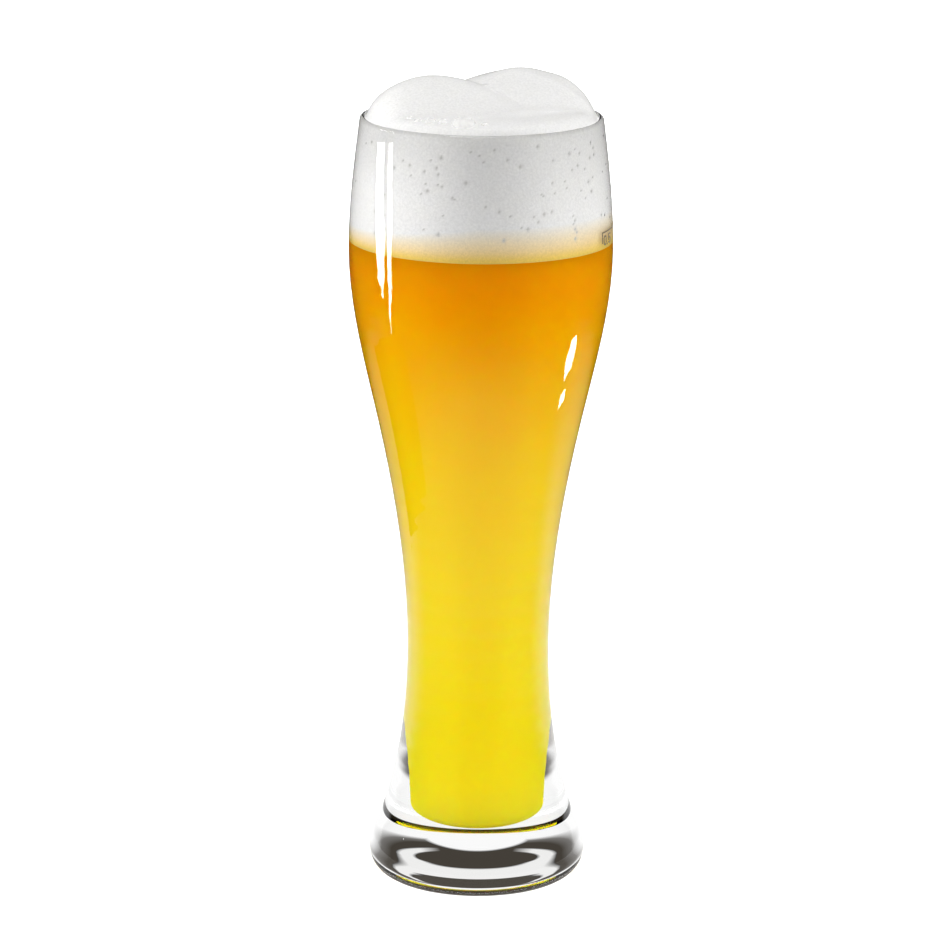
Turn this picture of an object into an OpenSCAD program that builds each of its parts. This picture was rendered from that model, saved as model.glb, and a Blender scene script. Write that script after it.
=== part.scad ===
// Weizen glass: a tall waisted wheat-beer glass, full, with a heaped foam head.
// Millimetres, +Z up. Origin on the axis, in the plane of the standing ring.
// The printed fill mark is on the +X side and the lower foam mound on the -Y side.

/* [Foot] */
// Diameter at the widest place of the foot
foot_d = 72.6; // [66:0.1:80]
// Height of the widest place over the standing ring
foot_rise = 7.8; // [5:0.1:10]
// Inward reach of the rounded edge, from the widest place to the standing ring
foot_tuck = 6.5; // [4:0.1:12]
// Width of the flat standing ring
ring_w = 2; // [1:0.1:8]
// Depth of the hollow inside the standing ring
punt_depth = 0.5; // [0.3:0.1:5]
// Thickness of the base, from the standing plane to the floor of the well
floor_z = 17.5; // [12:0.1:22]

/* [Outline] */
// Rise from the widest place of the foot to the heel
heel_rise = 4.6; // [3:0.1:7]
// Diameter at the heel
heel_d = 70.4; // [68:0.1:71.5]
// Lean of the wall at the heel, in degrees
heel_lean = 22; // [16:0.1:28]
// Rise from the heel to the waist
waist_rise = 66.7; // [55:0.1:85]
// Diameter at the waist
waist_d = 47.3; // [43:0.1:54]
// Rise from the waist to the middle of the flank
flank_rise = 76.3; // [60:0.1:95]
// Diameter at the middle of the flank
flank_d = 66.9; // [60:0.1:74]
// Lean of the wall at the middle of the flank, in degrees
flank_lean = 12.6; // [8:0.1:16]
// Rise from the middle of the flank to the belly
belly_rise = 58.2; // [48:0.1:75]
// Diameter at the belly
belly_d = 86.7; // [80:0.1:96]
// Rise from the belly to the rim
rim_rise = 44; // [39:0.1:60]
// Diameter at the rim
rim_d = 79.6; // [74:0.1:86]
// Inward lean of the wall at the rim, in degrees
rim_lean = 7.4; // [2:0.1:12]

/* [Walls] */
// Wall at the rim
rim_wall = 2; // [1.2:0.1:3.5]
// Wall at the belly
belly_wall = 2; // [1.4:0.1:4]
// Wall at the middle of the flank
flank_wall = 2.4; // [1.6:0.1:5]
// Wall at the waist
waist_wall = 4.6; // [3:0.1:7]
// Diameter of the well at the foot of the bowl
well_d = 30; // [26:0.1:36]
// Radius between the wall and the floor of the well
well_round = 3.5; // [2:0.1:8]

/* [Contents] */
// Drop from the rim to the top of the beer
beer_drop = 40; // [26:0.5:70]
// Clearance of the beer and the foam from the glass and from each other
content_gap = 0.05; // [0.02:0.01:0.2]
// Least height of the foam over the rim
collar_rise = 4.5; // [2:0.1:7]
// Height of the front mound of foam over the rim
front_rise = 14.3; // [8:0.1:18]
// Top of the front mound, across
front_x = -15; // [-20:0.5:-6]
// Top of the front mound, front to back
front_y = -2.5; // [-12:0.5:4]
// Reach of the front mound from its top, across
front_reach = 46; // [36:0.5:64]
// Reach of the front mound from its top, front to back
front_depth = 29.5; // [22:0.5:48]
// Height of the back mound of foam over the rim
back_rise = 14.6; // [8:0.1:18]
// Top of the back mound, across
back_x = 14; // [8:0.5:22]
// Top of the back mound, front to back
back_y = 12.5; // [4:0.5:18]
// Reach of the back mound from its top, across
back_reach = 48.5; // [28:0.5:64]
// Reach of the back mound from its top, front to back
back_depth = 32.5; // [24:0.5:56]
// Fullness of the mounds towards the wall: a larger number keeps them full further out
crown_fill = 7.4; // [4:0.1:12]

/* [Fill mark] */
// Drop from the rim to the middle of the fill line
mark_drop = 35; // [18:0.5:50]
// Turn of the left end of the mark about the axis, in degrees
mark_turn = -25; // [-60:1:60]
// Length of the fill line along the wall
line_len = 22; // [12:0.5:40]
// Width of the fill line and of its tick
line_w = 0.45; // [0.3:0.05:1]
// Length of the tick at the left end of the line
tick_len = 3.4; // [1:0.1:6]
// Height of the numerals
digit_h = 3.4; // [2.5:0.1:5]
// Width of one numeral
digit_w = 2.4; // [2.2:0.1:4]
// Width of the strokes of the numerals
digit_stroke = 0.5; // [0.3:0.05:0.6]
// Space between the numerals, and from the line and the tick to the numerals
digit_space = 0.8; // [0.4:0.1:1.5]
// Thickness of the print
ink_t = 0.12; // [0.05:0.01:0.3]

/* [Hidden] */
$fn = 96;
steps = 10;
sectors = 60;

foot_r = foot_d / 2;
rim_r = rim_d / 2;
ring_r = foot_r - foot_tuck;
punt_r = ring_r - ring_w;
punt_sphere = (punt_r * punt_r + punt_depth * punt_depth) / (2 * punt_depth);

heel_z = foot_rise + heel_rise;
waist_z = heel_z + waist_rise;
flank_z = waist_z + flank_rise;
belly_z = flank_z + belly_rise;
glass_h = belly_z + rim_rise;
lip_r = rim_wall / 2;
lip_z = glass_h - lip_r;

well_r = well_d / 2;
well_z = floor_z + well_round;
waist_in = waist_d / 2 - waist_wall;
well_slope = (waist_in - well_r) / (waist_z - well_z);

// Each station is height, radius and slope of the radius with height.
outer_stations = [
    [foot_rise, foot_r, 0],
    [heel_z, heel_d / 2, -tan(heel_lean)],
    [waist_z, waist_d / 2, 0],
    [flank_z, flank_d / 2, tan(flank_lean)],
    [belly_z, belly_d / 2, 0],
    [lip_z, rim_r, -tan(rim_lean)]
];
inner_stations = [
    [well_z, well_r, 0],
    [waist_z, waist_in, well_slope],
    [flank_z, flank_d / 2 - flank_wall, tan(flank_lean)],
    [belly_z, belly_d / 2 - belly_wall, 0],
    [lip_z, rim_r - rim_wall, -tan(rim_lean)]
];

function hermite(a, b, t) =
    let (h = b[0] - a[0], t2 = t * t, t3 = t * t * t)
    a[1] * (2 * t3 - 3 * t2 + 1) + h * a[2] * (t3 - 2 * t2 + t)
    + b[1] * (3 * t2 - 2 * t3) + h * b[2] * (t3 - t2);

// Smooth line of [radius, height] points through the stations.
function line_through(s) = concat(
    [for (i = [0 : len(s) - 2], k = [0 : steps - 1])
        [hermite(s[i], s[i + 1], k / steps), s[i][0] + (s[i + 1][0] - s[i][0]) * k / steps]],
    [[s[len(s) - 1][1], s[len(s) - 1][0]]]
);

function oval(r, z, reach, rise, from, to) =
    [for (k = [0 : steps])
        let (a = from + (to - from) * k / steps)
        [r + reach * cos(a), z + rise * sin(a)]];

function arc(r, z, radius, from, to) = oval(r, z, radius, radius, from, to);

function back_to_front(p) = [for (i = [len(p) - 1 : -1 : 0]) p[i]];

function as_table(p) = [for (q = p) [q[1], q[0]]];

outer_line = line_through(outer_stations);
inner_line = line_through(inner_stations);
outer_table = as_table(outer_line);
inner_table = as_table(inner_line);

function outer_r(z) = lookup(z, outer_table);
function inner_r(z) = lookup(z, inner_table);

well_arc = arc(well_r - well_round, well_z, well_round, -90, 0);
lip_arc = arc(rim_r - lip_r, lip_z, lip_r, 0, 180);
foot_oval = oval(ring_r, foot_rise, foot_tuck, foot_rise, -90, 0);
punt_line = [for (k = [0 : steps])
    let (r = punt_r * k / steps)
    [r, punt_depth - punt_sphere + sqrt(punt_sphere * punt_sphere - r * r)]];

glass_outline = concat(
    punt_line, foot_oval, outer_line, lip_arc,
    back_to_front(inner_line), back_to_front(well_arc), [[0, floor_z]]
);

beer_z = glass_h - beer_drop;
beer_outline = concat(
    [[0, floor_z + content_gap]],
    arc(well_r - well_round, well_z, well_round - content_gap, -90, 0),
    [for (p = inner_line) if (p[1] > well_z && p[1] < beer_z) [p[0] - content_gap, p[1]]],
    [[inner_r(beer_z) - content_gap, beer_z], [0, beer_z]]
);

// The foam is built in rings: up the wall to the lip, then inwards over the mounds.
foam_z = beer_z + content_gap;
mouth_r = rim_r - rim_wall - content_gap;
wall_rings = concat(
    [[inner_r(foam_z) - content_gap, foam_z]],
    [for (p = inner_line) if (p[1] > foam_z + 1) [p[0] - content_gap, p[1]]]
);
crown = [0.995, 0.98, 0.95, 0.9, 0.82, 0.72, 0.6, 0.47, 0.34, 0.21, 0.09];

function mound(x, y, cx, cy, rise, reach, depth) =
    let (u = min(1, norm([(x - cx) / reach, (y - cy) / depth])))
    rise * pow(1 - u * u, 2);

// Height of the foam over the lip, rounded down steeply to nothing at the wall.
function foam_rise(x, y) =
    sqrt(1 - pow(norm([x, y]) / mouth_r, crown_fill)) * max(
        collar_rise,
        mound(x, y, front_x, front_y, front_rise, front_reach, front_depth),
        mound(x, y, back_x, back_y, back_rise, back_reach, back_depth)
    );

wall_count = len(wall_rings);
ring_count = wall_count + len(crown);
foam_points = concat(
    [for (q = wall_rings, k = [0 : sectors - 1])
        [q[0] * cos(360 * k / sectors), q[0] * sin(360 * k / sectors), q[1]]],
    [for (f = crown, k = [0 : sectors - 1])
        let (x = f * mouth_r * cos(360 * k / sectors), y = f * mouth_r * sin(360 * k / sectors))
        [x, y, lip_z + foam_rise(x, y)]],
    [[0, 0, lip_z + foam_rise(0, 0)]]
);
foam_faces = concat(
    [[for (k = [0 : sectors - 1]) k]],
    [for (j = [0 : ring_count - 2], k = [0 : sectors - 1])
        let (n = (k + 1) % sectors) [j * sectors + k, (j + 1) * sectors + k, (j + 1) * sectors + n]],
    [for (j = [0 : ring_count - 2], k = [0 : sectors - 1])
        let (n = (k + 1) % sectors) [j * sectors + k, (j + 1) * sectors + n, j * sectors + n]],
    [for (k = [0 : sectors - 1])
        let (top = (ring_count - 1) * sectors)
        [top + k, ring_count * sectors, top + (k + 1) % sectors]]
);

mark_z = glass_h - mark_drop;
mark_r = outer_r(mark_z);
degrees_per_mm = 180 / (PI * mark_r);
digit_r = digit_w / 2;
digit_hole = digit_r - digit_stroke;
numerals_w = 2 * digit_w + 2 * digit_space + digit_stroke;
numerals_z = mark_z - line_w / 2 - digit_space - digit_h / 2;
numerals_turn = mark_turn + (line_w + digit_space + numerals_w / 2) * degrees_per_mm;

// Cross-section of a thin layer on the outside wall between two heights.
function ink_strip(z0, z1) =
    let (zs = concat([z0], [for (p = outer_line) if (p[1] > z0 + 0.01 && p[1] < z1 - 0.01) p[1]], [z1]))
    concat(
        [for (z = zs) [outer_r(z), z]],
        [for (i = [len(zs) - 1 : -1 : 0]) [outer_r(zs[i]) + ink_t, zs[i]]]
    );

module ink_arc(z0, z1, length) {
    rotate([0, 0, mark_turn])
        rotate_extrude(angle = length * degrees_per_mm)
            polygon(ink_strip(z0, z1));
}

module zero() {
    difference() {
        union() {
            translate([-digit_r, digit_r - digit_h / 2]) square([digit_w, digit_h - digit_w]);
            translate([0, digit_h / 2 - digit_r]) circle(digit_r);
            translate([0, digit_r - digit_h / 2]) circle(digit_r);
        }
        translate([-digit_hole, digit_r - digit_h / 2]) square([2 * digit_hole, digit_h - digit_w]);
        translate([0, digit_h / 2 - digit_r]) circle(digit_hole);
        translate([0, digit_r - digit_h / 2]) circle(digit_hole);
    }
}

module five() {
    translate([-digit_r, digit_h / 2 - digit_stroke]) square([digit_w, digit_stroke]);
    translate([-digit_r, digit_r - digit_h / 2]) square([digit_stroke, digit_h - digit_r]);
    difference() {
        translate([0, digit_r - digit_h / 2]) circle(digit_r);
        translate([0, digit_r - digit_h / 2]) circle(digit_hole);
        translate([-digit_r, digit_r - digit_h / 2 - digit_stroke]) square([digit_r, digit_stroke]);
    }
}

module glass() {
    color([0.86, 0.92, 0.94, 0.4])
        rotate_extrude() polygon(glass_outline);
}

module beer() {
    color([0.95, 0.66, 0.08])
        rotate_extrude() polygon(beer_outline);
}

module foam_head() {
    color([0.98, 0.97, 0.94])
        polyhedron(foam_points, foam_faces, convexity = 4);
}

module fill_line() {
    color([0.3, 0.27, 0.22]) {
        ink_arc(mark_z - line_w / 2, mark_z + line_w / 2, line_len);
        ink_arc(mark_z - line_w / 2 - tick_len, mark_z - line_w / 2, line_w);
    }
}

module fill_numerals() {
    color([0.3, 0.27, 0.22])
        intersection() {
            rotate_extrude() polygon(ink_strip(numerals_z - digit_h, numerals_z + digit_h));
            rotate([0, 0, numerals_turn])
                translate([mark_r / 2, 0, numerals_z])
                    rotate([90, 0, 90])
                        linear_extrude(mark_r) {
                            translate([(digit_w - numerals_w) / 2, 0]) zero();
                            translate([-digit_stroke / 2, -digit_h / 2]) square(digit_stroke);
                            translate([(numerals_w - digit_w) / 2, 0]) five();
                        }
        }
}

// Volume of the well and bowl up to a height, in millilitres.
function slice(a, b) = PI / 3 * (b[1] - a[1]) * (a[0] * a[0] + a[0] * b[0] + b[0] * b[0]) / 1000;
function total(v, i = 0) = i < len(v) ? v[i] + total(v, i + 1) : 0;
function volume_to(z) =
    let (p = concat(well_arc, [for (q = inner_line) if (q[1] > well_z && q[1] < z) q], [[inner_r(z), z]]))
    total([for (i = [0 : len(p) - 2]) slice(p[i], p[i + 1])]);
echo(height = glass_h, millilitres_at_mark = volume_to(mark_z), millilitres_of_beer = volume_to(beer_z));

glass();
beer();
foam_head();
fill_line();
fill_numerals();
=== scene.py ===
import math
import random

import bpy
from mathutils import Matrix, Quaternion, Vector, noise
from mathutils.kdtree import KDTree


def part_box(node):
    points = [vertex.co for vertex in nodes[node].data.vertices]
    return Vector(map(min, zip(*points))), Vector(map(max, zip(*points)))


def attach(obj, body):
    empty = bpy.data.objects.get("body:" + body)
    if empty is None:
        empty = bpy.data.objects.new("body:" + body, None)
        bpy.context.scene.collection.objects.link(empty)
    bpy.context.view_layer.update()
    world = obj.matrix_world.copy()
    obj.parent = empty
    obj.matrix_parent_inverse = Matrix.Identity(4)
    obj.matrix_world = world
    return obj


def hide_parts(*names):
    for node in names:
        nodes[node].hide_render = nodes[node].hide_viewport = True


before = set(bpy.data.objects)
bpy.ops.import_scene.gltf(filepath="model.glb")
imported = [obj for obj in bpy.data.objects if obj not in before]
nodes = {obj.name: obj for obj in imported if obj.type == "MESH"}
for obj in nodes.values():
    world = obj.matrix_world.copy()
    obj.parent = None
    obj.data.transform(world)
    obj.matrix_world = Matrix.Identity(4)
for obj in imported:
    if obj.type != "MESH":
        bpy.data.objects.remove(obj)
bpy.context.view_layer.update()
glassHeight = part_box("glass")[1][2]
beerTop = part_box("beer")[1][2]
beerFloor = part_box("beer")[0][2]
print("frame loaded, glass", round(glassHeight * 1000), "mm tall")

touching = 1e-6  # points nearer than this are one
slack = 1e-5  # how far from a height still counts as at it
creaseAngle = 40  # sharper edges than this stay sharp
white = (1, 1, 1, 1)
black = (0, 0, 0, 1)


# small helpers for meshes

def pickOnly(piece):
    if bpy.context.object and bpy.context.object.mode != "OBJECT":
        bpy.ops.object.mode_set(mode="OBJECT")
    bpy.ops.object.select_all(action="DESELECT")
    piece.select_set(True)
    bpy.context.view_layer.objects.active = piece


def selectVerts(piece, test):
    bpy.ops.object.mode_set(mode="EDIT")
    bpy.ops.mesh.select_mode(type="VERT")
    bpy.ops.mesh.select_all(action="DESELECT")
    bpy.ops.object.mode_set(mode="OBJECT")
    for vert in piece.data.vertices:
        vert.select = test(vert.co)
    bpy.ops.object.mode_set(mode="EDIT")


def copyOfNode(node, name):
    piece = nodes[node].copy()
    piece.data = nodes[node].data.copy()
    piece.data.materials.clear()
    piece.parent = None
    piece.name = name
    bpy.context.scene.collection.objects.link(piece)
    pickOnly(piece)
    bpy.ops.object.mode_set(mode="EDIT")
    bpy.ops.mesh.select_all(action="SELECT")
    bpy.ops.mesh.remove_doubles(threshold=touching)
    bpy.ops.object.mode_set(mode="OBJECT")
    return piece


# keeps only the outline of a turned node, in the half plane y = 0, and smooths it as a curve
def turnedOutline(node, name, between, drop=lambda co: False):
    piece = copyOfNode(node, name)
    selectVerts(piece, lambda co: abs(co.y) > touching or co.x < -touching or drop(co))
    bpy.ops.mesh.delete(type="VERT")
    bpy.ops.object.mode_set(mode="OBJECT")
    bpy.ops.object.convert(target="CURVE")
    bpy.ops.object.mode_set(mode="EDIT")
    bpy.ops.curve.select_all(action="SELECT")
    bpy.ops.curve.spline_type_set(type="BEZIER")
    bpy.ops.curve.handle_type_set(type="AUTOMATIC")
    bpy.ops.object.mode_set(mode="OBJECT")
    piece.data.resolution_u = between
    bpy.ops.object.convert(target="MESH")
    print(name, "outline has", len(piece.data.vertices), "points")
    return piece


def turnRound(piece, turns):
    bpy.ops.object.mode_set(mode="EDIT")
    bpy.ops.mesh.select_all(action="SELECT")
    bpy.ops.mesh.spin(steps=turns, angle=math.tau, center=(0, 0, 0), axis=(0, 0, 1), use_auto_merge=True)
    bpy.ops.mesh.select_all(action="SELECT")
    bpy.ops.mesh.remove_doubles(threshold=touching)
    bpy.ops.mesh.normals_make_consistent(inside=False)
    bpy.ops.object.mode_set(mode="OBJECT")


def wearing(piece, material):
    piece.data.materials.clear()
    piece.data.materials.append(material)


def finishPiece(piece, slotName, *replaced):
    pickOnly(piece)
    bpy.ops.object.shade_smooth_by_angle(angle=math.radians(creaseAngle))
    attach(piece, "root")
    if replaced:
        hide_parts(*replaced)
    print(piece.name, "done,", len(piece.data.polygons), "faces")


# small helpers for materials; what goes into a socket is a plain value or another node's output

def newMaterial(name, settings):
    material = bpy.data.materials.new(name)
    material.use_nodes = True
    tree = material.node_tree
    tree.nodes.clear()
    output = tree.nodes.new("ShaderNodeOutputMaterial")
    shader = tree.nodes.new("ShaderNodeBsdfPrincipled")
    tree.links.new(shader.outputs["BSDF"], output.inputs["Surface"])
    for key, value in settings.items():
        shader.inputs[key].default_value = value
    return material, tree, shader.inputs


def feed(tree, socket, value):
    if isinstance(value, bpy.types.NodeSocket):
        tree.links.new(value, socket)
    else:
        socket.default_value = value


def addNode(tree, kind, **settings):
    node = tree.nodes.new("ShaderNode" + kind)
    for key, value in settings.items():
        if hasattr(node, key):
            setattr(node, key, value)
        else:
            feed(tree, node.inputs[key], value)
    return node


def addNoise(tree, place, scale, detail):
    return addNode(tree, "TexNoise", Vector=place, Scale=scale, Detail=detail).outputs["Fac"]


def addLength(tree, vector):
    return addNode(tree, "VectorMath", operation="LENGTH", Vector=vector).outputs["Value"]


def addMath(tree, operation, *values):
    node = addNode(tree, "Math", operation=operation)
    for socket, value in zip(node.inputs, values):
        feed(tree, socket, value)
    return node.outputs[0]


def addRange(tree, value, seen=(0, 1), given=(0, 1), **settings):
    node = addNode(tree, "MapRange", Value=value, **settings)
    for key, end in zip(("From Min", "From Max", "To Min", "To Max"), (*seen, *given)):
        feed(tree, node.inputs[key], end)
    return node.outputs["Result"]


# in a Mix node, sockets 6 and 7 are the two colours, and 2 is the mixed one
def addMix(tree, share, first, second, **settings):
    node = addNode(tree, "Mix", data_type="RGBA", **settings)
    for socket, value in ((0, share), (6, first), (7, second)):
        feed(tree, node.inputs[socket], value)
    return node.outputs[2]


def addRamp(tree, along, stops, interpolation="LINEAR"):
    node = addNode(tree, "ValToRGB", Fac=along)
    node.color_ramp.interpolation = interpolation
    places = node.color_ramp.elements  # a new ramp has two
    for index, (at, colour) in enumerate(stops):
        stop = places[index] if index < 2 else places.new(at)
        stop.position = at
        stop.color = (*colour, 1)
    return node.outputs["Color"]


# the glass: one lump, turned from its outline

glassLook = {
    "betweenPoints": 4,  # points of the curve between two of the outline's
    "turns": 160,
    "shader": {"Transmission Weight": 1, "Roughness": 0, "IOR": 1.5},
    "colour": (0.985, 0.99, 0.985, 1),
    # a grey tint on the lip is painted shade, for the dark line the rim shows
    "lipShadeColour": (0.72, 0.72, 0.71, 1),
    "lipHeight": (0.0012, 0.0004),  # the lip's painted shade starts and is full this far under the rim
    "waveScale": 22,  # slow waviness of blown glass
    "waveHeight": 0.00002,
}


def glassMaterial():
    material, tree, shader = newMaterial("clearGlass", glassLook["shader"])
    place = addNode(tree, "TexCoord").outputs["Object"]
    height = addNode(tree, "SeparateXYZ", Vector=place).outputs["Z"]
    # darkens the glass just under the rim: painted shade for the dark line of the lip
    lip = addRange(tree, height, [glassHeight - drop for drop in glassLook["lipHeight"]])
    tint = addMix(tree, lip, glassLook["colour"], glassLook["lipShadeColour"])
    waves = addNoise(tree, place, glassLook["waveScale"], detail=1)
    bump = addNode(tree, "Bump", Strength=1, Distance=glassLook["waveHeight"], Height=waves)
    tree.links.new(tint, shader["Base Color"])
    tree.links.new(bump.outputs["Normal"], shader["Normal"])
    return material


glassBody = turnedOutline("glass", "glassBody", glassLook["betweenPoints"])
turnRound(glassBody, glassLook["turns"])
wearing(glassBody, glassMaterial())
glassBody.visible_shadow = False  # lamps reach the drink through it
finishPiece(glassBody, "clear_glass", "glass")


# the beer: wets the wall, so its skin lies a hair inside the glass

beerLook = {
    "betweenPoints": 3,
    "turns": 128,
    "wetting": 0.0001,
    "shader": {
        "Roughness": 0.5,
        "Specular IOR Level": 0,
        "Subsurface Weight": 1,
        "Subsurface Radius": (0.05, 0.03, 0.002),  # how far each colour of light gets
        "Subsurface Scale": 1,
    },
    # the beer's own amber with painted shade and light: deeper orange towards the top, where the beer is
    # thicker, paler yellow lower down, where light comes from below, and a little darker at the very
    # floor of the well
    "colours": [  # from the floor of the well to the foam
        (0.0, (0.95, 0.63, 0.03)),
        (0.08, (0.98, 0.695, 0.012)),
        (0.4, (0.98, 0.685, 0.012)),
        (0.68, (0.98, 0.6, 0.006)),
        (0.88, (0.98, 0.42, 0.001)),
        (1.0, (0.98, 0.28, 0.001)),
    ],
    "hazeScale": 60,  # slow clouds of yeast
    "hazeTint": 0.04,
}


def beerMaterial():
    material, tree, shader = newMaterial("hazyBeer", beerLook["shader"])
    place = addNode(tree, "TexCoord").outputs["Object"]
    height = addNode(tree, "SeparateXYZ", Vector=place).outputs["Z"]
    depth = addRange(tree, height, (beerFloor, beerTop))
    haze = addNoise(tree, place, beerLook["hazeScale"], detail=2)
    clouds = addRange(tree, haze, given=(-beerLook["hazeTint"], beerLook["hazeTint"]))
    clouded = addMath(tree, "ADD", depth, clouds)
    # the height ramp paints shade and light into the beer's colour
    tree.links.new(addRamp(tree, clouded, beerLook["colours"], "B_SPLINE"), shader["Base Color"])
    return material


def atBeerTop(co):
    return co.z > beerTop - touching


beer = turnedOutline("beer", "beer", beerLook["betweenPoints"],
                     lambda co: co.x < touching and atBeerTop(co))
turnRound(beer, beerLook["turns"])
selectVerts(beer, atBeerTop)
bpy.ops.mesh.edge_face_add()
bpy.ops.mesh.select_all(action="SELECT")
bpy.ops.mesh.normals_make_consistent(inside=False)
bpy.ops.transform.shrink_fatten(value=beerLook["wetting"])
bpy.ops.object.mode_set(mode="OBJECT")
wearing(beer, beerMaterial())
finishPiece(beer, "hazy_beer", "beer")


# the foam head: a turned wall against the glass, and a crown laid over the heaped mounds

foamLook = {
    "betweenPoints": 8,
    "turns": 360,
    "crownRings": 56,
    "lipDrop": 0.001,  # the wall ends where the rounded lip begins
    "smoothing": 30,
    "wetting": 0.00025,  # how far the skin sinks into the glass
    "underlap": 0.0006,  # how far the wall reaches below the top of the beer
    "crownEdge": 8,  # how suddenly lumps and folds die out at the lip
    "lumpScale": 70,
    "lumpHeight": 0.0006,
    "foldScale": (60, 110, 110),  # long folds run across
    "foldHeight": 0.0005,
    "foldStart": 0.02,  # they come in over this much, at the back right
    "pits": 170,
    "pitBand": (0.12, 0.93),  # between the beer and the lip
    "pitSize": (0.0003, 0.001),
    "pitDepth": 0.0004,
    "pitRounding": 1.5,
    "seed": 4,
    "shader": {
        "Roughness": 0.8,
        "Specular IOR Level": 0.2,
        "Subsurface Weight": 0.5,
        "Subsurface Radius": (0.003, 0.003, 0.0027),
        "Subsurface Scale": 1,
        "Coat Roughness": 0.2,
        "Coat IOR": 1.33,
    },
    "colour": (0.9, 0.895, 0.885, 1),
    # grey for the pits: painted shade in the recesses
    "pitShadeColour": (0.58, 0.57, 0.55, 1),
    "soakedColour": (0.93, 0.64, 0.14, 1),
    "soakedHeight": 0.0105,
    "soakedLeft": 0.5,  # share of that height on the left side
    "grainScale": 1500,
    "grainSpread": (0.3, 0.7),
    "grainShade": (0.88, 1),
    "grainBump": 0.5,
    "grainHeight": 0.0002,
    "wetness": 0.8,  # of the crown, in the open air
    "wetEdge": 0.001,
}

lipHeight = glassHeight - foamLook["lipDrop"]
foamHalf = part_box("foam_head")[1][0]
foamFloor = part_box("foam_head")[0][2]


def foamMaterial():
    material, tree, shader = newMaterial("beerFoam", foamLook["shader"])
    place = addNode(tree, "TexCoord").outputs["Object"]
    split = addNode(tree, "SeparateXYZ", Vector=place).outputs
    lean = addRange(tree, split["X"], (-foamHalf, 0), (foamLook["soakedLeft"], 1))
    soakedTop = addMath(tree, "MULTIPLY_ADD", lean, foamLook["soakedHeight"], beerTop)
    dry = addRange(tree, split["Z"], (beerTop, soakedTop))
    soaked = addMix(tree, dry, foamLook["soakedColour"], foamLook["colour"])
    grain = addNoise(tree, place, foamLook["grainScale"], detail=3)
    shade = addRange(tree, grain, foamLook["grainSpread"], foamLook["grainShade"])
    grained = addMix(tree, 1, soaked, shade, blend_type="MULTIPLY")
    # the pit depth greys the colour: painted shade in the pits
    pit = addNode(tree, "Attribute", attribute_name="pit").outputs["Fac"]
    pitShaded = addMix(tree, pit, grained, foamLook["pitShadeColour"])
    bump = addNode(tree, "Bump", Height=grain, Strength=foamLook["grainBump"],
                   Distance=foamLook["grainHeight"])
    wet = addRange(tree, split["Z"], (lipHeight, lipHeight + foamLook["wetEdge"]),
                   (0, foamLook["wetness"]))
    tree.links.new(pitShaded, shader["Base Color"])
    tree.links.new(wet, shader["Coat Weight"])
    tree.links.new(bump.outputs["Normal"], shader["Normal"])
    return material


def atCrown(co):
    return co.z > lipHeight - slack


# a line drawn in from the lip to the axis turns into the flat crown
def drawInLine(piece, mouthRadius):
    selectVerts(piece, atCrown)
    bpy.ops.mesh.extrude_vertices_move(TRANSFORM_OT_translate={"value": (-mouthRadius, 0, 0)})
    selectVerts(piece, atCrown)
    bpy.ops.mesh.subdivide(number_cuts=foamLook["crownRings"])
    bpy.ops.object.mode_set(mode="OBJECT")


# the flat crown rises to the heaped mounds, and their facets are smoothed away
def heapCrown(piece):
    crown = piece.vertex_groups.new(name="crown")
    crown.add([vert.index for vert in piece.data.vertices if atCrown(vert.co)], 1, "REPLACE")
    heap = piece.modifiers.new("heap", "SHRINKWRAP")
    heap.target = nodes["foam_head"]
    heap.vertex_group = crown.name
    heap.wrap_method = "PROJECT"
    heap.use_project_z = True
    bpy.ops.object.modifier_apply(modifier=heap.name)
    soften = piece.modifiers.new("soften", "SMOOTH")
    soften.iterations = foamLook["smoothing"]
    soften.vertex_group = crown.name
    bpy.ops.object.modifier_apply(modifier=soften.name)


# lumps all over the crown and folds on the back mound, none at the wall
def foldCrown(piece, mouthRadius):
    for vert in piece.data.vertices:
        if vert.co.z > lipHeight:
            free = 1 - (math.hypot(vert.co.x, vert.co.y) / mouthRadius) ** foamLook["crownEdge"]
            lump = noise.noise(vert.co * foamLook["lumpScale"])
            fold = 1 - 2 * abs(noise.noise(vert.co * Vector(foamLook["foldScale"])))
            behind = min(1, max(0, (vert.co.x + vert.co.y) / foamLook["foldStart"]))
            vert.co.z += free * (foamLook["lumpHeight"] * lump + foamLook["foldHeight"] * behind * fold)


# bubbles that burst against the glass leave round pits in the wall
def pressPits(piece):
    chance = random.Random(foamLook["seed"])
    verts = piece.data.vertices
    tree = KDTree(len(verts))
    for vert in verts:
        tree.insert(vert.co, vert.index)
    tree.balance()
    depths = [0.0] * len(verts)
    for number in range(foamLook["pits"]):
        turn = chance.uniform(0, math.tau)
        level = beerTop + (lipHeight - beerTop) * chance.uniform(*foamLook["pitBand"])
        size = chance.uniform(*foamLook["pitSize"])
        aimed = Vector((foamHalf * math.cos(turn), foamHalf * math.sin(turn), level))
        middle = tree.find(aimed)[0]
        for co, index, distance in tree.find_range(middle, size):
            depth = (1 - (distance / size) ** 2) ** foamLook["pitRounding"]
            depths[index] = max(depths[index], depth)
    for vert, depth in zip(verts, depths):
        outward = Vector((vert.co.x, vert.co.y, 0)).normalized()
        vert.co -= outward * depth * foamLook["pitDepth"]
    # the depths are kept for the foam's colour, which paints shade into the pits
    layer = piece.data.attributes.new("pit", "FLOAT", "POINT")
    layer.data.foreach_set("value", depths)


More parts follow.
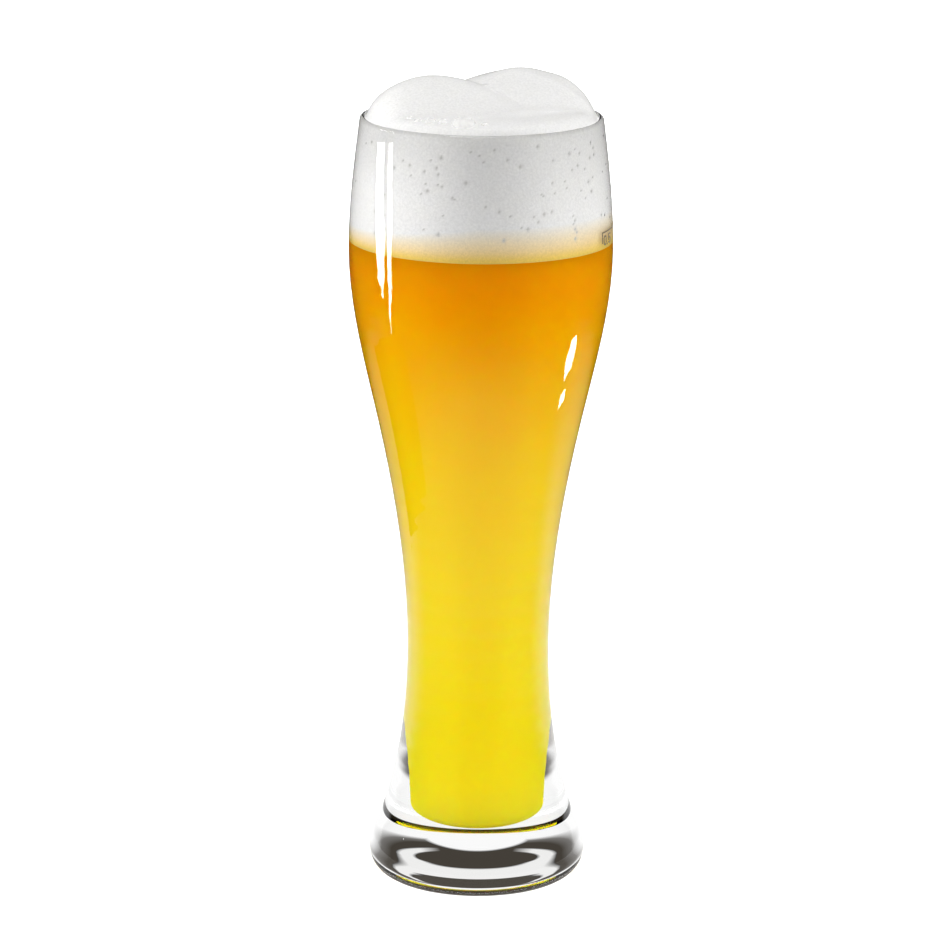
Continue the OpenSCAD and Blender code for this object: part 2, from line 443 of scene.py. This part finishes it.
foamHead = turnedOutline("foam_head", "foamHead", foamLook["betweenPoints"],
                         lambda co: co.z > lipHeight + slack)
mouthRadius = min(vert.co.x for vert in foamHead.data.vertices)
drawInLine(foamHead, mouthRadius)
turnRound(foamHead, foamLook["turns"])
print("foam turned,", len(foamHead.data.vertices), "points")
heapCrown(foamHead)
foldCrown(foamHead, mouthRadius)
selectVerts(foamHead, lambda co: co.z < foamFloor + slack)
bpy.ops.mesh.extrude_edges_move(TRANSFORM_OT_translate={"value": (0, 0, -foamLook["underlap"])})
bpy.ops.mesh.edge_face_add()
bpy.ops.mesh.select_all(action="SELECT")
bpy.ops.mesh.normals_make_consistent(inside=False)
bpy.ops.transform.shrink_fatten(value=foamLook["wetting"])
bpy.ops.object.mode_set(mode="OBJECT")
pressPits(foamHead)
wearing(foamHead, foamMaterial())
finishPiece(foamHead, "beer_foam", "foam_head")


# thin bubbles that stand on the crown at the front, most of them on the left

bubbleLook = {
    "places": [  # across, along, radius
        (-0.0058, -0.031, 0.0042),
        (-0.0125, -0.0295, 0.0016),
        (-0.0163, -0.0278, 0.0019),
        (-0.0203, -0.0262, 0.0013),
        (-0.0232, -0.0225, 0.0011),
        (0.0009, -0.0327, 0.0012),
    ],
    "rings": 14,
    "flatness": 0.8,
    "sunk": 0.3,  # of the radius
    "bowl": 0.35,  # depth of the underside, of the dome's height
    "shader": {"Base Color": (0.86, 0.855, 0.845, 1), "Roughness": 0.06, "IOR": 1.33},
    "milkiness": (0.2, 0.55),  # least and most of the film
    "filmScale": 400,
}


def bubbleMaterial():
    material, tree, shader = newMaterial("bubbleFilm", bubbleLook["shader"])
    place = addNode(tree, "TexCoord").outputs["Object"]
    film = addNoise(tree, place, bubbleLook["filmScale"], detail=2)
    tree.links.new(addRange(tree, film, given=bubbleLook["milkiness"]), shader["Alpha"])
    return material


# balls sunk into the crown, all in one mesh, with the underside of each pushed up to a bowl
def blowBubbles():
    crown = KDTree(len(foamHead.data.vertices))
    for vert in foamHead.data.vertices:
        if vert.co.z > lipHeight:
            crown.insert((vert.co.x, vert.co.y, 0), vert.index)
    crown.balance()
    rings = bubbleLook["rings"]
    pointsOfOne = 2 * rings * (rings - 1) + 2  # with both poles
    grounds = []
    bpy.ops.object.select_all(action="DESELECT")
    for number, (across, along, size) in enumerate(bubbleLook["places"]):
        nearest = crown.find((across, along, 0))[1]
        ground = foamHead.data.vertices[nearest].co.z - bubbleLook["sunk"] * size
        grounds += [ground] * pointsOfOne
        bpy.ops.mesh.primitive_uv_sphere_add(segments=2 * rings, ring_count=rings, radius=size,
                                             location=(across, along, ground),
                                             scale=(1, 1, bubbleLook["flatness"]))
        if number == 0:
            bubbles = bpy.context.object
            bubbles.name = "foamBubbles"
            bpy.ops.object.transform_apply(location=True, scale=True)
            bpy.ops.object.mode_set(mode="EDIT")  # the others join it
    bpy.ops.mesh.select_all(action="SELECT")
    bpy.ops.mesh.normals_make_consistent(inside=False)
    bpy.ops.object.mode_set(mode="OBJECT")
    for vert, ground in zip(bubbles.data.vertices, grounds):
        if vert.co.z < ground:
            vert.co.z = ground + bubbleLook["bowl"] * (vert.co.z - ground)
    return bubbles


foamBubbles = blowBubbles()
wearing(foamBubbles, bubbleMaterial())
foamBubbles.visible_shadow = False
finishPiece(foamBubbles, "beer_foam")


# the printed mark stays as the frame has it

printLook = {
    "shader": {"Roughness": 0.45},
    "colour": (0.13, 0.1, 0.065, 1),
    "wornColour": (0.24, 0.19, 0.13, 1),
    "wearScale": 900,
}


def printMaterial():
    material, tree, shader = newMaterial("firedPrint", printLook["shader"])
    place = addNode(tree, "TexCoord").outputs["Object"]
    wear = addNoise(tree, place, printLook["wearScale"], detail=3)
    tree.links.new(addMix(tree, wear, printLook["colour"], printLook["wornColour"]), shader["Base Color"])
    return material


firedPrint = printMaterial()
for part in ("fill_line", "fill_numerals"):
    wearing(nodes[part], firedPrint)
print("print done")


# floor, world and lamps

stageLook = {
    "floorHalf": 4.0,
    "floorShader": {
        "Base Color": (0.85, 0.85, 0.85, 1),
        "Roughness": 1,
        "Specular IOR Level": 0,
        "Emission Color": white,
    },
    "floorGlow": (0.36, 1.0),  # near the glass and far off, seen by the camera and by glass
    "floorFar": (0.35, 0.9),
    "worldLight": 0.2,
    "roundness": 64,  # corners of a disc
    "clothSteps": 48,
}


def seenDirectly(tree):
    path = addNode(tree, "LightPath").outputs
    glossy = addMath(tree, "MAXIMUM", path["Is Camera Ray"], path["Is Glossy Ray"])
    return addMath(tree, "MAXIMUM", glossy, path["Is Transmission Ray"])


def addFloor():
    bpy.ops.mesh.primitive_plane_add(size=2 * stageLook["floorHalf"], location=(0, 0, 0))
    floor = bpy.context.object
    floor.name = "floor"
    material, tree, shader = newMaterial("paleFloor", stageLook["floorShader"])
    away = addLength(tree, addNode(tree, "TexCoord").outputs["Object"])
    glow = addRange(tree, away, stageLook["floorFar"], stageLook["floorGlow"])
    tree.links.new(addMath(tree, "MULTIPLY", seenDirectly(tree), glow), shader["Emission Strength"])
    wearing(floor, material)


def lightWorld():
    world = bpy.data.worlds.new("studio")
    bpy.context.scene.world = world
    world.use_nodes = True
    tree = world.node_tree
    background = tree.nodes["Background"].inputs
    background["Color"].default_value = white
    level = addRange(tree, seenDirectly(tree), given=(stageLook["worldLight"], 1))
    tree.links.new(level, background["Strength"])


# a lamp that only lights: what the glass mirrors is on the cards below
def addSoftbox(name, place, aim, width, height, radiance):
    lamp = bpy.data.lights.new(name, "AREA")
    lamp.shape = "RECTANGLE"
    lamp.size = width
    lamp.size_y = height
    lamp.energy = radiance * math.pi * width * height
    box = bpy.data.objects.new(name, lamp)
    box.location = place
    box.rotation_euler = (Vector(aim) - Vector(place)).to_track_quat("-Z", "Y").to_euler()
    bpy.context.scene.collection.objects.link(box)
    box.visible_camera = False
    box.visible_transmission = False
    box.visible_glossy = False


def glowMaterial(name, glow, colour=white):
    return newMaterial(name, {"Base Color": black, "Specular IOR Level": 0,
                              "Emission Color": colour, "Emission Strength": glow})


def setUp(card, name, material, seenBy):
    card.name = name
    wearing(card, material)
    for sort in ("camera", "diffuse", "glossy", "transmission", "volume_scatter", "shadow"):
        setattr(card, "visible_" + sort, sort in seenBy)


def addDisc(radius, height):
    bpy.ops.object.select_all(action="DESELECT")
    bpy.ops.mesh.primitive_circle_add(vertices=stageLook["roundness"], radius=radius, fill_type="NGON",
                                      location=(0, 0, height))
    return bpy.context.object


def around(turn, reach, height):
    return reach * math.sin(math.radians(turn)), -reach * math.cos(math.radians(turn)), height


# a cut card; corners are degrees round from the camera's side, and height
def addCard(name, reach, corners, glow, seenBy):
    bpy.ops.object.select_all(action="DESELECT")
    bpy.ops.mesh.primitive_circle_add(vertices=len(corners), fill_type="NGON")
    card = bpy.context.object
    for vert, (turn, height) in zip(card.data.vertices, corners):
        vert.co = around(turn, reach, height)
    setUp(card, name, glowMaterial(name + "Card", glow)[0], seenBy)


# a cloth hung round the glass between two turns
def addCloth(name, reach, turns, heights, glow, colour, seenBy):
    bpy.ops.object.select_all(action="DESELECT")
    bpy.ops.mesh.primitive_grid_add(x_subdivisions=stageLook["clothSteps"], y_subdivisions=1, size=1)
    cloth = bpy.context.object
    for vert in cloth.data.vertices:  # from -0.5 to 0.5 both ways
        turn = turns[0] + (turns[1] - turns[0]) * (vert.co.x + 0.5)
        vert.co = around(turn, reach, heights[0] + (heights[1] - heights[0]) * (vert.co.y + 0.5))
    setUp(cloth, name, glowMaterial(name + "Cloth", glow, colour)[0], seenBy)


# a net that takes some of the side light off the beer, or off the crown
def addNet(name, reach, turns, heights, share):
    addCloth(name, reach, turns, heights, 0, white, ("shadow",))
    tree = bpy.context.object.active_material.node_tree
    thin = addNode(tree, "BsdfTransparent", Color=(share, share, share, 1))
    tree.links.new(thin.outputs["BSDF"], tree.nodes["Material Output"].inputs["Surface"])


# the light that comes down through the foam onto the top of the beer
underFoamLook = {
    "radius": 0.9 * foamHalf,
    "height": beerTop + 0.0004,
    "glow": 0.8,
}


def addUnderFoam():
    disc = addDisc(underFoamLook["radius"], underFoamLook["height"])
    setUp(disc, "underFoam", glowMaterial("throughFoam", underFoamLook["glow"])[0], ("diffuse",))


# a painted pool of light on the table that the wall mirrors: bright behind, dim in front, gone further
# off, with a painted shadow under the foot
poolLook = {
    "reach": 0.63,
    "height": 0.0006,
    # each starts with the painted shadow under the foot, then the painted light
    "behind": [(0.0348, 0.06), (0.0372, 1.0), (0.44, 1.0), (0.54, 0.55),
               (0.64, 0.38), (0.86, 0.03), (0.96, 0.0)],
    "before": [(0.0348, 0.06), (0.0372, 0.45), (0.36, 0.45), (0.43, 0.2), (0.54, 0.06), (0.66, 0.0)],
    "sideways": (-0.1, 0.55),  # where the one turns into the other
    "dimming": (1, 1.05, 1.12),  # power of each colour, so the dim parts are brownish
    # the ring of light that the foot throws under itself
    "ringPlace": ((0, 0.003, 0), (0.031, 0.019, 1)),
    "ring": [(0.43, 0.0), (0.46, 0.9), (0.55, 0.9), (0.59, 0.0)],
    "ringBack": (0.007, 0.003),  # where it fades out towards the back,
    "ringSide": (0.007, 0.011),  # but not at the sides
    # and the light that comes in under its back edge
    "spotPlace": ((0, 0.0215, 0), (0.017, 0.022, 1)),
    "spot": [(0.42, 1.0), (0.5, 0.0)],
}


def poolRamp(tree, along, key):
    stops = [(at, [level ** power for power in poolLook["dimming"]]) for at, level in poolLook[key]]
    return addRamp(tree, along, stops)


# a ramp outwards from the middle of an oval
def ovalRamp(tree, place, key):
    centre, size = poolLook[key + "Place"]
    moved = addNode(tree, "Mapping", vector_type="TEXTURE", Vector=place, Location=centre, Scale=size)
    return poolRamp(tree, addLength(tree, moved.outputs["Vector"]), key)


def addPool():
    pool = addDisc(poolLook["reach"], poolLook["height"])
    bpy.ops.object.transform_apply(location=True)
    material, tree, shader = glowMaterial("litTable", 1)
    place = addNode(tree, "TexCoord").outputs["Object"]
    split = addNode(tree, "SeparateXYZ", Vector=place).outputs
    away = addLength(tree, place)
    share = addMath(tree, "DIVIDE", away, poolLook["reach"])
    facing = addMath(tree, "DIVIDE", split["Y"], away)
    swing = addRange(tree, facing, poolLook["sideways"], interpolation_type="SMOOTHSTEP")
    table = addMix(tree, swing, poolRamp(tree, share, "before"), poolRamp(tree, share, "behind"))
    back = addRange(tree, split["Y"], poolLook["ringBack"])
    side = addRange(tree, addMath(tree, "ABSOLUTE", split["X"]), poolLook["ringSide"])
    shown = addMath(tree, "MAXIMUM", back, side)
    ringed = addMix(tree, shown, table, ovalRamp(tree, place, "ring"), blend_type="LIGHTEN")
    lit = addMix(tree, 1, ringed, ovalRamp(tree, place, "spot"), blend_type="LIGHTEN")
    tree.links.new(lit, shader["Emission Color"])
    setUp(pool, "litTable", material, ("glossy", "transmission"))


addFloor()
lightWorld()
addPool()

middle = (0, 0, glassHeight / 2)
beerShoulder = (0, 0, 0.21)  # a little under the foam
lamps = {  # place, aim, width, height, radiance
    "backLight": ((0, 2.4, 0.98), middle, 3.5, 1.9, 1.6),
    "frontLight": ((0, -1.6, 0.7), middle, 1.8, 1.4, 1.0),
    "leftLight": ((-0.45, -0.03, 0.21), beerShoulder, 0.25, 0.2, 14.0),
    "rightLight": ((0.45, -0.03, 0.21), beerShoulder, 0.25, 0.2, 10.0),
    "topLight": ((0, 0, 1.3), middle, 0.9, 0.9, 3.7),
}
for lampName, setting in lamps.items():
    addSoftbox(lampName, *setting)

stripGlow = 20
strips = {  # reach, corners
    "leftStrip": (0.3, [(-104.8, 0.244), (-99.2, 0.213), (-96.3, 0.173), (-94.5, 0.132),
                        (-91.3, 0.112), (-87.0, 0.138), (-85.6, 0.186), (-94.7, 0.25)]),
    "leftEdge": (0.3, [(-89.4, 0.253), (-82.7, 0.205), (-83.3, 0.123), (-88.2, 0.064),
                       (-79.1, 0.123), (-77.8, 0.207), (-84.4, 0.256)]),
    "rightLow": (0.14, [(90.2, 0.142), (93.2, 0.134), (93.7, 0.126), (92.0, 0.119),
                        (87.5, 0.111), (84.4, 0.118), (84.0, 0.126), (85.7, 0.134)]),
    "rightLower": (0.14, [(92.5, 0.109), (93.3, 0.104), (87.7, 0.097), (87.1, 0.103)]),
}
for stripName, (reach, corners) in strips.items():
    addCard(stripName, reach, corners, stripGlow, ("glossy",))

brown = (1, 0.75, 0.45, 1)
cloths = {  # reach, turns, heights, glow, colour, what sees it
    "tent": (0.62, (-180, 180), (0.0, 1.8), 0.02, brown, ("glossy", "transmission")),
    "frontScrim": (0.3, (-85, 85), (0.0, 0.155), 3.65, white, ("transmission",)),
    "leftFlag": (0.15, (-112, -70), (0.06, 0.132), 0.0, brown, ("glossy",)),
}
for clothName, setting in cloths.items():
    addCloth(clothName, *setting)

netReach = 0.12
nets = {  # turns, heights, share of the light that passes
    "leftNetLow": ((-140, -40), (0.0, 0.207), 0.68),
    "leftNetHigh": ((-140, -40), (0.25, 0.34), 0.3),
    "rightNetLow": ((40, 140), (0.0, 0.207), 0.68),
    "rightNetHigh": ((40, 140), (0.25, 0.34), 0.3),
}
for netName, setting in nets.items():
    addNet(netName, netReach, *setting)

addUnderFoam()
print("stage and lamps done")


# camera, in glass heights from the axis

shot = {
    "distance": 5.208,
    "height": 1.8613,
    "aimHeight": 0.5313,
    "aimSide": -0.0048,
    "roll": 0.41,
    "lens": 157.7,
    "sensor": 36,
}

bpy.ops.object.camera_add(location=(0, -shot["distance"] * glassHeight, shot["height"] * glassHeight))
camera = bpy.context.object
aim = Vector((shot["aimSide"] * glassHeight, 0, shot["aimHeight"] * glassHeight))
look = (aim - camera.location).to_track_quat("-Z", "Y")
camera.rotation_euler = (look @ Quaternion((0, 0, 1), math.radians(shot["roll"]))).to_euler()
camera.data.lens = shot["lens"]
camera.data.sensor_width = shot["sensor"]
scene = bpy.context.scene
scene.camera = camera
scene.view_settings.view_transform = "Standard"
scene.cycles.caustics_reflective = False
print("camera done")
